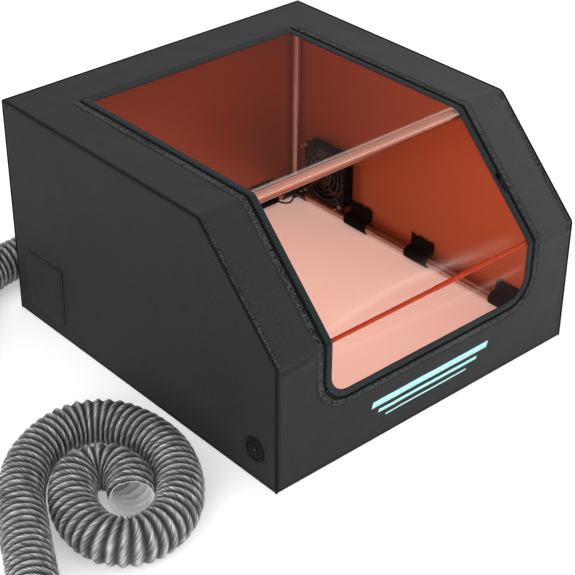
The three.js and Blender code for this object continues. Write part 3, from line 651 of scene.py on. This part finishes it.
def rear_wall():
    xs = ticks(-HALF + 0.6, HALF - 0.6, GRID, CORD_GATE_X - 10, CORD_GATE_X, CORD_GATE_X + 10)
    zs = ticks(0, HEIGHT - 1, GRID)
    flat = np.array([(x, z) for z in zs for x in xs])
    flat[:, 1] += hem_lift(flat[:, 0]) * np.clip(1 - flat[:, 1] / 40, 0, 1)
    x, z = flat.T
    edge = np.minimum(HALF - np.abs(x), np.minimum(z, HEIGHT - z))
    out = wall_waves(x, z, 9) * np.clip(edge / EDGE_FADE, 0, 1)
    points = np.column_stack([x, REAR + out, z])
    return cover_piece("cover_rear", points, grid_faces(len(zs), len(xs), flip=True))


def top_out(x, s):
    """How far the roof, slope and front stand out: soft folds, and creases beside the window."""
    edge = np.minimum(HALF - np.abs(x), np.minimum(s, PROFILE.long - s))
    window = np.maximum(np.abs(x) - OPEN_X, np.maximum(OPEN_FROM - s, s - OPEN_TO))
    hold = np.clip(np.minimum(edge, np.maximum(window, 0)) / 26, 0, 1)
    pts = np.stack([x, s, 0 * s], 1)
    out = (1.3 * lumps(pts, 110, 31) + 0.6 * lumps(pts, 36, 17)) * hold
    beside = np.clip((np.abs(x) - 266) / 14, 0, 1) * np.clip((HALF - 2 - np.abs(x)) / 10, 0, 1)
    share = np.clip((np.abs(x) - 266) / 80, 0, 1)
    for bend, deep in ((PROFILE.bend_1, 1.6), (PROFILE.bend_2, 2.6)):
        line = bend + 3 + 7 * share
        out = out - deep * beside * np.exp(-((s - line) / 4.5) ** 2)
        out = out + 0.6 * deep * beside * np.exp(-((s - line - 11) / 6.0) ** 2)
    return out


def top_cover():
    """Roof, slope and front in one sheet, with the window's opening cut out."""
    corner_x, corner_s = OPEN_X - OPEN_CORNER, OPEN_TO - OPEN_CORNER
    xs = ticks(-HALF, HALF, GRID, -OPEN_X, OPEN_X, -corner_x, corner_x)
    ss = ticks(0, PROFILE.long, GRID, OPEN_FROM, OPEN_TO, corner_s,
               *(bend + d for bend in (PROFILE.bend_1, PROFILE.bend_2)
                 for d in range(-9, 28, 3)))
    flat = np.array([(x, s) for s in ss for x in xs])

    def inside(c):
        x, s = abs(c[0]), c[1]
        if x > OPEN_X or s < OPEN_FROM or s > OPEN_TO:
            return False
        return (x < corner_x or s < corner_s
                or math.hypot(x - corner_x, s - corner_s) < OPEN_CORNER)

    def snap(p):
        dx, ds = abs(p[0]) - corner_x, p[1] - corner_s
        if dx <= 0.1 or ds <= 0.1:
            return p
        scale = OPEN_CORNER / math.hypot(dx, ds)
        return np.array([math.copysign(corner_x + dx * scale, p[0]), corner_s + ds * scale])

    flat, faces = holed(flat, grid_faces(len(ss), len(xs), flip=True), inside, snap)
    x, s = flat.T
    y, z, ny, nz = PROFILE.at(s)
    out = top_out(x, s)
    points = np.column_stack([x, y + ny * out, z + nz * out])
    return cover_piece("cover_top", points, faces)


WALL_LEFT = side_wall("cover_left", -1, [(PORT_Y, PORT_Z, PORT_R), (GROMMET_Y, GROMMET_Z, 20)])
WALL_RIGHT = side_wall("cover_right", 1, [(FAN_Y, FAN_Z, 46)])
WALL_REAR = rear_wall()
TOP = top_cover()
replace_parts(WALL_LEFT, "left_panel")
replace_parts(WALL_RIGHT, "right_panel")
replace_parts(WALL_REAR, "rear_panel")
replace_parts(TOP, "front_roof_cover")


# ---------- cover: seams ----------
def seams():
    """Piping along both sides of roof, slope and front, and round the rear wall."""
    s, rise = np.linspace(0, PROFILE.long, 160), np.linspace(0, HEIGHT - 0.5, 50)
    sides = (("left", -1), ("right", 1))
    lines = {f"seam_{name}": PROFILE.point(side * (HALF - 0.4), s, -0.4) for name, side in sides}
    for name, side in sides:
        lines[f"seam_rear_{name}"] = np.column_stack(
            [np.full(50, side * (HALF - 0.6)), np.full(50, REAR - 0.6), rise])
    lines["seam_rear_top"] = np.column_stack(
        [np.linspace(-HALF, HALF, 80), np.full(80, REAR - 0.6), np.full(80, HEIGHT - 0.6)])
    for name, line in lines.items():
        tube(name, line, 2.1, PIPING)


seams()


# ---------- window: lines round the opening ----------
def s_stops(a, b):
    """Places along the profile from a to b, closer together at the bends."""
    stops = [a]
    while stops[-1] < b - 0.01:
        near = min(abs(stops[-1] - PROFILE.bend_1), abs(stops[-1] - PROFILE.bend_2))
        stops.append(min(b, stops[-1] + (1.6 if near < 14 else 6.0)))
    return np.array(stops)


def opening_path(which):
    """The opening's outline as rows of x, s and the way out of the opening."""
    start, fold, corner = OPEN_FROM + 0.4, PROFILE.bend_2, OPEN_TO - OPEN_CORNER
    low_x = OPEN_X - OPEN_CORNER
    if which in ("left", "right"):
        side = -1 if which == "left" else 1
        return np.array([(side * OPEN_X, s, side, 0) for s in s_stops(start, fold - 0.5)])
    left = [(-OPEN_X, s, -1, 0) for s in s_stops(fold + 0.5 if which == "low" else start, corner)]
    turn = [(-low_x - OPEN_CORNER * math.cos(t), corner + OPEN_CORNER * math.sin(t),
             -math.cos(t), math.sin(t)) for t in np.linspace(0, math.pi / 2, 16)[1:-1]]
    half = left + turn
    base = [(x, OPEN_TO, 0, 1) for x in np.linspace(-low_x, low_x, 60)]
    return np.array(half + base + [(-x, s, -nx, ns) for x, s, nx, ns in half[::-1]])


def ribbon(name, path, section, finish, body="enclosure", slot="cover_fabric", wander=0.0):
    """A closed strip along a path, with one section of (across, height) points."""
    if wander:
        path = path.copy()
        places = np.column_stack([path[:, :2], 0 * path[:, 0]])
        path[:, :2] += path[:, 2:] * (wander * lumps(places, 45, 8))[:, None]
    x, s, way_x, way_s = path.T
    rings = np.stack([PROFILE.point(x + way_x * a, s + way_s * a, h) for a, h in section], 1)
    return solid(name, rings, tube_faces(*rings.shape[:2]), finish, body, slot)


def bead(across, height, radius, sides=8):
    """A round section for ribbon."""
    return [(across + radius * math.cos(t), height + radius * math.sin(t))
            for t in round_of(sides)]


def band_section(inner, outer, top, low, crown, steps=8):
    """A flat band with a slightly crowned top and rounded edges."""
    across = np.linspace(inner, outer, steps)
    share = np.linspace(-1, 1, steps)
    upper = [(a, top + crown * (1 - t ** 4)) for a, t in zip(across, share)]
    way = np.sign(outer - inner)
    return [*upper, (outer, low + 0.3), (outer - way * 0.4, low), (inner + way * 0.4, low),
            (inner, low + 0.3)]


FOLD_START, FOLD_END = (tuple((PROFILE.point(0, PROFILE.bend_1 + d) * MM).tolist())
                        for d in (-12, 12))


def on_upper(made):
    """Bakes the piece's placement into its mesh."""
    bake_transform(made)
    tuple(FOLD_START)
    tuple(FOLD_END)


def zip_parts():
    """The zip's fixed tape and row of coils, and the door's own row, band and edge."""
    all_round, slot = opening_path("all"), "zip_tape"
    tape = ribbon("zip_tape_fixed", all_round, band_section(2.0, 14, 0.35, -0.6, 0.35), TAPE,
                  slot=slot)
    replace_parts(tape, "zip_tape")
    ribbon("zip_tape_seam", all_round, bead(14.6, 0.15, 0.95), BINDING, slot=slot, wander=0.25)
    ribbon("zip_tape_stitches", all_round, bead(11.4, 0.62, 0.32, 6), THREAD, slot=slot)
    ribbon("zip_coil_fixed", all_round, bead(0.75, 0.75, 1.3), ZIP_COIL, slot=slot)
    for which in ("left", "right", "low"):
        path = opening_path(which)
        if which == "low":
            body, coil = "front_pane", path[path[:, 1] - PROFILE.bend_2 > 2.05]
        else:
            # runs just past the lower fold, where the front pane's coil starts
            x, _, way, _ = path[-1]
            body = None
            coil = np.vstack([path, [(x, PROFILE.bend_2 + past, way, 0) for past in (0.7, 1.9)]])
        for strip in (
                ribbon(f"zip_coil_{which}", coil, bead(-1.9, 0.75, 1.3), ZIP_COIL, body, slot),
                ribbon(f"door_band_{which}", path, band_section(-3.0, -16, 0.2, -2.0, 1.0),
                       BAND, body, slot, 0.3),
                ribbon(f"door_edge_{which}", path, bead(-15.4, -0.4, 1.15), BAND, body, slot,
                       0.3)):
            if not body:
                on_upper(strip)
    xs = np.linspace(-OPEN_X + 1.6, OPEN_X - 1.6, 50)
    rear = np.array([(x, OPEN_FROM + 0.6, 0, 1) for x in xs])
    ribbon("door_rear_strip", rear, band_section(0, 14.6, -0.1, -1.6, 0.15), COVER, "roof_pane")
    ribbon("door_rear_edge", rear, bead(14.6, -0.6, 0.75), BINDING, "roof_pane")


# ---------- window: film ----------
FILM_HALF = 241.0      # half the film's width
FILM_ACROSS = 97       # points across it
# Crease lines in the film as (x, distance from the lower fold); beside each, a haze line carries a
# broad painted highlight.
UPPER_CREASE = [(-240, -19), (-150, -30), (-60, -34), (40, -30), (110, -22), (170, -14)]
UPPER_HAZE_AND_HIGHLIGHT = [(-236, -34), (-100, -44), (0, -38), (80, -26), (150, -20), (240, -16)]
LOWER_CREASE = [(-240, 22), (-120, 31), (0, 38), (120, 44), (250, 46)]
LOWER_HAZE_AND_HIGHLIGHT = [(-240, 30), (-120, 40), (0, 46), (120, 52), (250, 56)]


def crease(x, t, points, width):
    """How close (x, t) lies to a line given by points, from 1 on it to 0 away from it."""
    line = np.array(points, float)
    away = np.interp(x, line[:, 0], line[:, 1]) - t
    ends = np.clip((x - line[0, 0]) / 30, 0, 1) * np.clip((line[-1, 0] - x) / 60, 0, 1)
    return ends * np.exp(-(away / width) ** 2)


def film_form(x, s):
    """How far the film stands out, and its haze with painted highlights, at x and s."""
    away = np.minimum(np.abs(s - PROFILE.bend_1), np.abs(s - PROFILE.bend_2))
    hold = np.clip((236 - np.abs(x)) / 45, 0, 1) * np.clip(away / 30, 0, 1)
    hold *= np.clip((s - 110) / 30, 0, 1) * np.clip((OPEN_TO - 14 - s) / 20, 0, 1)
    pts = np.column_stack([x, s * 1.4, 0 * s])
    out = hold * (1.0 * lumps(pts, 190, 41) + 0.25 * lumps(pts, 70, 12))
    t = s - PROFILE.bend_2
    upper = np.clip((150 - x) / 110, 0, 1) * crease(x, t, UPPER_CREASE, 4.5)
    lower = crease(x, t, LOWER_CREASE, 5)
    # Whitened creases: partly the film's own haze, partly painted highlight, with a broad painted
    # glow beside each.
    upper_haze_and_highlight = 0.6 * upper + 0.2 * crease(x, t, UPPER_HAZE_AND_HIGHLIGHT, 13)
    lower_haze_and_highlight = 0.4 * lower + 0.02 * crease(x, t, LOWER_HAZE_AND_HIGHLIGHT, 13)
    on_slope = s < PROFILE.bend_2 - 2
    form = np.where(on_slope, 0.5 * upper, 0.5 * lower) * hold
    over_tube = s - PROFILE.bend_1
    # Painted highlights where the film bends over the cross tube: two bright lines and a mild
    # fill.
    haze_and_highlight = (np.where(on_slope, upper_haze_and_highlight, lower_haze_and_highlight)
            + 2.0 * np.exp(-((over_tube + 8) / 1.6) ** 2)
            + 1.5 * np.exp(-((over_tube - 9) / 1.6) ** 2) + 0.8 * np.exp(-(over_tube / 8) ** 4))
    return out + form, haze_and_highlight


def film(name, rows, body=None):
    """A thin closed sheet; rows are (s, half its width there)."""
    us = np.linspace(-1, 1, FILM_ACROSS)
    rings, marks = [], []
    for s, half in rows:
        x, along_s = us * half, np.full(FILM_ACROSS, s)
        out, haze_and_highlight = film_form(x, along_s)
        top = PROFILE.point(x, along_s, out - 0.5)
        low = PROFILE.point(x, along_s, out - 1.1)
        rings.append(np.vstack([top, low[::-1]]))
        marks.append(np.concatenate([haze_and_highlight, haze_and_highlight[::-1]]))
    around = 2 * FILM_ACROSS
    faces = grid_faces(len(rows), around, wrap=True)
    for base in (0, (len(rows) - 1) * around):
        for j in range(FILM_ACROSS - 1):
            quad = [base + j, base + j + 1, base + around - 2 - j, base + around - 1 - j]
            faces.append(quad if base else quad[::-1])
    return solid(name, rings, faces, FILM, body, "window_film", {"haze_and_highlight": np.concatenate(marks)})


def windows():
    """One film over roof and slope, and one in the front."""
    rows = [(s, FILM_HALF) for s in s_stops(OPEN_FROM + 8, PROFILE.bend_2 - 0.6)]
    upper = film("film_upper", rows)
    on_upper(upper)
    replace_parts(upper, "roof_pane", "slope_pane")
    corner, r = OPEN_TO - OPEN_CORNER, 48.0
    rows = [(s, FILM_HALF) for s in s_stops(PROFILE.bend_2 + 0.6, corner)]
    rows += [(corner + r * math.sin(t), FILM_HALF - r + r * math.cos(t))
             for t in np.linspace(0, 1.45, 14)[1:]]
    lower = film("film_lower", rows, "front_pane")
    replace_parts(lower, "front_pane")


zip_parts()
windows()


# ---------- cover: bound edges ----------
def bindings():
    """Grainy strips along the slope's outer edges, front seams, and a bead round the hem."""
    slope = s_stops(PROFILE.bend_1 + 3, PROFILE.bend_2 - 3)
    front = s_stops(PROFILE.bend_2 + 4, PROFILE.long - 1)
    for name, side in (("left", -1), ("right", 1)):
        path, low_path = (np.array([(side * (HALF - 1), s, -side, 0) for s in stops])
                          for stops in (slope, front))
        ribbon(f"slope_binding_{name}", path, band_section(2.0, 8.6, 0.1, -0.7, 0.3), TAPE,
               wander=0.5)
        ribbon(f"slope_binding_seam_{name}", path, bead(9.2, -0.05, 0.75), BINDING, wander=0.5)
        ribbon(f"front_seam_{name}", low_path, bead(7.5, -0.1, 0.6), BINDING)
    corners = [(-HALF, -REAR), (HALF, -REAR), (HALF, REAR), (-HALF, REAR), (-HALF, -REAR)]
    for name, a, b in zip(("front", "right", "rear", "left"), corners, corners[1:]):
        t = np.linspace(0.001, 0.999, 90)[:, None]
        line = np.array(a) + (np.array(b) - np.array(a)) * t
        z = 2.6 + (hem_lift(line[:, 0]) if name == "rear" else 0 * t[:, 0])
        tube(f"hem_{name}", np.column_stack([line, z]), 1.5, BINDING)


bindings()


# ---------- straps ----------
def strap(name, kind, side, at, node, seed):
    """A hook-and-loop strap: round the bottom tube, then up the wall, with a pinked top."""
    tube_at, wall = (side * d for d in ((335.0, 345.2) if kind == "side" else (353.0, 363.4)))
    low, radius = 15.0, 11.7
    ring = [(tube_at - side * radius * math.cos(a), low + radius * math.sin(a))
            for a in np.radians(np.arange(-140, 86, 8.0))]
    rise = np.linspace(low + 13.5, 52, 12)
    spread = np.linspace(-30, 30, 61)
    points = []
    for d in spread:
        jag = (3.6 * (abs((d / 8.0 + seed * 0.3) % 1 - 0.5) * 4 - 1)
               + 3.0 * noise.noise(Vector((d * 0.09, seed, 0))))
        column = list(ring)
        for z in rise:
            share = (z - rise[0]) / (rise[-1] - rise[0])
            puff = 1.2 * noise.noise(Vector((d * 0.05, z * 0.06, seed + 3.0)))
            column.append((wall - side * (0.4 + 2.2 * math.exp(-share * 6) + abs(puff) * share),
                           z + jag * share ** 3))
        points += [(u, at + d, z) if kind == "side" else (at + d, u, z) for u, z in column]
    made = piece(name, points, grid_faces(len(spread), len(ring) + len(rise)), [STRAP],
                 slot="strap_webbing")
    thicken(made, 2.6, 0)
    if node:
        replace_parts(made, node)


for i, y in enumerate((159, -16, -243)):
    strap(f"strap_right_{i + 1}", "side", 1, y, f"right_strap_{i + 1}", i)
    strap(f"strap_left_{i + 1}", "side", -1, y, None, i + 4)
strap("strap_rear_right", "rear", 1, 248, "rear_strap", 7)
strap("strap_rear_left", "rear", 1, -248, None, 9)


# ---------- ports ----------
def lathe(name, profile, finish, slot, sides, shape=None):
    """A body turned from a closed line of (radius, x) points round the grommet's axis."""
    theta = round_of(sides)
    r, h = (np.array(profile, float)[:, None, i] * np.ones(sides) for i in (0, 1))
    if shape:
        h = shape(r, h, theta[None])
    rings = (np.array([-HALF, GROMMET_Y, GROMMET_Z])
             + np.stack([h, r * np.cos(theta), r * np.sin(theta)], -1))
    return solid(name, rings, loop_faces(len(profile), sides), finish, slot=slot)


def flap():
    """The padded flap over the left port, with its bound edge."""
    half_y, half_z = 55, 59
    flap_y, flap_z = ticks(-half_y, half_y, 3.6), ticks(-half_z, half_z, 3.6)
    points = []
    for z in flap_z:
        for y in flap_y:
            edge = min(half_y - abs(y), half_z - abs(z))
            crown = 2.4 * (1 - math.exp(-edge / 3.5)) + 0.9 * math.cos(y / 36) * math.cos(z / 38)
            crown += 0.5 * noise.noise(Vector((y, z, 4)) / 30)
            points.append((-HALF - 0.5 - crown, PORT_Y + y, PORT_Z + z))
    pad = thicken(piece("flap_pad", points, grid_faces(len(flap_z), len(flap_y), flip=True),
                        [COVER], "port_flap"), CLOTH_THICK)
    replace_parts(pad, "port_flap")
    corners = [(-half_y, half_z), (-half_y, -half_z), (half_y, -half_z), (half_y, half_z)]
    edge = [(-HALF - 0.9, PORT_Y + y + (next_y - y) * t, PORT_Z + z + (next_z - z) * t)
            for (y, z), (next_y, next_z) in zip(corners, corners[1:] + corners[:1])
            for t in np.linspace(0.02, 0.98, 26)]
    tube("flap_edge", edge + edge[:1], 1.05, BINDING, "port_flap")


def ports():
    """The flapped port and the slit rubber grommet in the left wall."""
    flap()
    t = np.linspace(0, 2 * np.pi, 73)
    rim = np.column_stack([np.full(73, -HALF + 0.8), PORT_Y + PORT_R * np.cos(t),
                           PORT_Z + PORT_R * np.sin(t)])
    tube("port_rim", rim, 1.3, BINDING)

    def slits(r, h, theta):
        near = np.abs((theta * 8 / (2 * np.pi)) % 1 - 0.5) * 2
        dip = np.clip(1 - (1 - near) / 0.07, 0, 1) * ((r > 4) & (r < 14.5))
        return h + 1.3 * dip * np.sign(-h - 0.8).clip(0)

    dome = [(2.0, -1.4), (2.4, -2.6), (4, -3.2), (6, -3.35), (9, -3.2), (12, -2.9), (14.5, -2.5),
            (16, -2.1), (16.7, -1.4), (16.7, -0.5), (2.0, -0.5)]
    ring = [(17, -1.2), (17.3, -2.3), (18.2, -3), (20, -3.2), (21.8, -2.9), (23.1, -2.0),
            (23.6, -1.0), (23.6, -0.3), (19.7, -0.3), (19.7, 2.3), (23.2, 2.3), (23.2, 3.2),
            (22.6, 3.8), (17, 3.8)]
    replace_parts(lathe("grommet_dome", dome, GROMMET_RUBBER, "grommet_rubber", 96, slits),
                "grommet_insert")
    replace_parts(lathe("grommet_rim", ring, PLASTIC, "grommet_plastic", 72), "grommet_ring")


ports()


# ---------- CAD pieces that keep their shape ----------
def finishes():
    """Finishes and softened edges on the CAD pieces that no mesh stands for, with painted warm
    light on the steel tubes.
    """
    bright = metal("bright_steel", (0.74, 0.75, 0.77), 0.24, 500)
    looks = {
        # The steel tubes are silver; their warm colour is painted light, for the film's orange
        # light on them.
        "frame_steel": metal("tube_steel_painted_warm_light", (0.52, 0.36, 0.29), 0.34, 60, 0),
        "connector_plastic": rubber_material("connector_plastic", (0.012, 0.012, 0.013), 0.42),
        "fold_rod": rod_material(),
        "zip_metal": metal("zip_metal", (0.008, 0.008, 0.009), 0.4, 400),
        "fan_plastic": rubber_material("fan_plastic", (0.004, 0.004, 0.0045), 0.55, 500,
                                       Specular_IOR_Level=0.15),
        "impeller_plastic": rubber_material("impeller_plastic", (0.015, 0.015, 0.017), 0.26, 700),
        "guard_wire": bright,
        "screw_steel": bright,
        "flange_plastic": rubber_material("flange_plastic", (0.012, 0.012, 0.014), 0.33),
        "clamp_steel": metal("clamp_steel", (0.72, 0.73, 0.75), 0.22, 600),
        "plug_plastic": rubber_material("plug_plastic", (0.012, 0.012, 0.013), 0.4, 700),
    }
    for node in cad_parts.values():
        for holder in node.material_slots:
            found = looks.get(holder.material.name.split(".")[0])
            if found:
                holder.material = found
                bevel = node.modifiers.new("edges", "BEVEL")
                bevel.width, bevel.segments, bevel.limit_method = 0.00025, 2, "ANGLE"
                bevel.angle_limit = math.radians(50)
                bevel.use_clamp_overlap = True
                break


finishes()


# ---------- fan guard ----------
def guard():
    """Five rings of wire on four arms that end in eyes round the screws."""
    x, wire, sides, screw, eye = 321.9, 0.9, 8, 52.5, 3.6
    parts, faces = [], []

    def add(rings, faces_of):
        faces.extend(faces_of(len(rings), sides, sum(len(p) for p in parts)))
        parts.append(np.vstack(rings))

    def add_ring(y, z, radius, steps):
        line = [(x, y + radius * math.cos(t), z + radius * math.sin(t))
                for t in np.linspace(0, 2 * math.pi, steps)]
        add(tube_rings(np.array(line), wire, sides)[:-1], loop_faces)

    for r in (10, 21, 32, 43, 54):
        add_ring(FAN_Y, FAN_Z, r, 61)
    for v in (-1, 1):
        for u in (-1, 1):
            way = np.array([0, u, v]) / math.sqrt(2)
            reach = np.linspace(9.5, screw * math.sqrt(2) - eye, 8)[:, None]
            arm = np.array([x - 1.3, FAN_Y, FAN_Z]) + way * reach
            add(tube_rings(arm, wire, sides), tube_faces)
            add_ring(FAN_Y + u * screw, FAN_Z + v * screw, eye, 25)
    # The guard's plated wire is painted dark, for the shade round the fan in the right wall.
    wires_painted_shade = metal("guard_wires", (0.14, 0.14, 0.145), 0.4, 600)
    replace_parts(solid("guard_wires", parts, faces, wires_painted_shade, slot="guard_wire"), "fan_guard")


guard()


# ---------- stripes on the front ----------
def stripes():
    """Plain pale stripes printed on the front, in place of lettering."""
    ink = material("pale_print", (0.42, 0.8, 0.79), 0.5)
    drive(ink, "Base Color", ramp(ink, noise_of(ink, 300, 2), (0.3, (0.36, 0.74, 0.73)),
                                  (0.7, (0.48, 0.86, 0.85))))
    count, slant, middle_z = 90, 0.35, 59
    for i, (low, high, half) in enumerate(((66, 78, 141), (52, 58, 120), (40, 43, 99))):
        x = np.linspace(-half, half, count)
        rings = []
        for z, out in ((high, 0.3), (low, 0.3), (low, -0.4), (high, -0.4)):
            s = np.full(count, PROFILE.s_of_z(z))
            shift = x + (z - middle_z) * slant
            rings.append(PROFILE.point(shift, s, top_out(shift, s) + out))
        solid(f"front_stripe_{i + 1}", np.stack(rings, 1), tube_faces(count, 4), ink)


stripes()


# ---------- studio ----------
def area_light(name, place, target, size, power):
    data = bpy.data.lights.new(name, "AREA")
    data.shape, data.size, data.size_y, data.energy = "RECTANGLE", size, size, power
    lamp = bpy.data.objects.new(name, data)
    lamp.location = place
    lamp.rotation_mode = "QUATERNION"
    lamp.rotation_quaternion = (Vector(target) - Vector(place)).to_track_quat("-Z", "Y")
    bpy.context.scene.collection.objects.link(lamp)
    return lamp


def studio():
    """A pale floor and world, two broad lamps, and small ones that light one thing each."""
    mesh = bpy.data.meshes.new("floor")
    mesh.from_pydata([(-30, -30, 0), (30, -30, 0), (30, 30, 0), (-30, 30, 0)], [], [(0, 1, 2, 3)])
    mesh.materials.append(material("floor", (0.9, 0.9, 0.9), 0.95, Specular_IOR_Level=0.1,
                                   Emission_Color=(1, 1, 1, 1), Emission_Strength=0.36))
    floor = bpy.data.objects.new("floor", mesh)
    floor.location.z = -0.0003
    bpy.context.scene.collection.objects.link(floor)
    world = bpy.data.worlds.new("studio")
    world.use_nodes = True
    sky = world.node_tree.nodes["Background"].inputs
    sky[0].default_value, sky[1].default_value = (1, 1, 1, 1), 1.0
    bpy.context.scene.world = world
    bpy.context.scene.view_settings.view_transform = "Standard"
    area_light("key", (-3.7, -1.6, 1.2), (0, 0, 0.2), 2.4, 92)
    area_light("right_front", (2.2, -2.3, 3.2), (0, -0.2, 0.3), 2.2, 14)
    for name, place, target, size, power, lit in (
            ("slope_right", (0.85, -0.85, 0.95), (0.31, -0.27, 0.34), 0.3, 33, TOP),
            ("inside", (0, 0.1, 0.4), (0, 0.1, 0), 0.6, 0.8, floor),
            ("inside_right", (-0.12, -0.26, 0.34), (0.35, -0.2, 0.16), 0.3, 1.4, WALL_RIGHT)):
        lamp = area_light(name, place, target, size, power)
        group = bpy.data.collections.new(name)
        group.objects.link(lit)
        lamp.light_linking.receiver_collection = group
        lamp.visible_camera = lamp.visible_glossy = False


studio()
